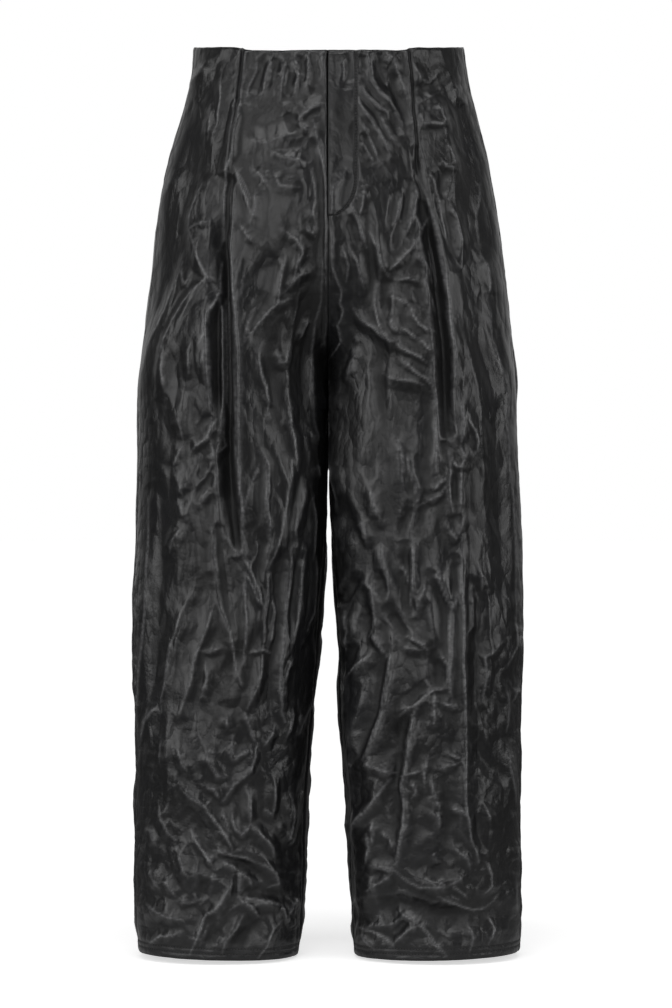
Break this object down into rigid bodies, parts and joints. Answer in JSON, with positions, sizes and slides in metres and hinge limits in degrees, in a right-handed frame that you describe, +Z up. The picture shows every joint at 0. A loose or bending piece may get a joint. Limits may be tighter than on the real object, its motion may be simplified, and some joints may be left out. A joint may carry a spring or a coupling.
{
  "type": "leather trousers",
  "caption": "High-waisted trousers in soft black leather, with long front tucks that open into pleats, a lapped fly and wide curved legs that end in plain turned hems.",
  "frame": {"origin": "middle of the waist, 25 mm under the top edge at the side, where a wearer's waist or a waist form holds the garment", "axes": "+Z up along the body, front of the garment towards -Y, the wearer's left towards +X"},
  "size_m": [0.4338, 0.2401, 1.011],
  "materials": {
    "leather": "soft, finely crumpled, half-matt black leather",
    "zip_tape": "black woven tape with a closed chain"
  },
  "bodies": {
    "root": {"front_right": "leather", "front_left": "leather", "back_right": "leather", "back_left": "leather", "fly": "leather", "zip": "zip_tape"}
  },
  "joints": []
}
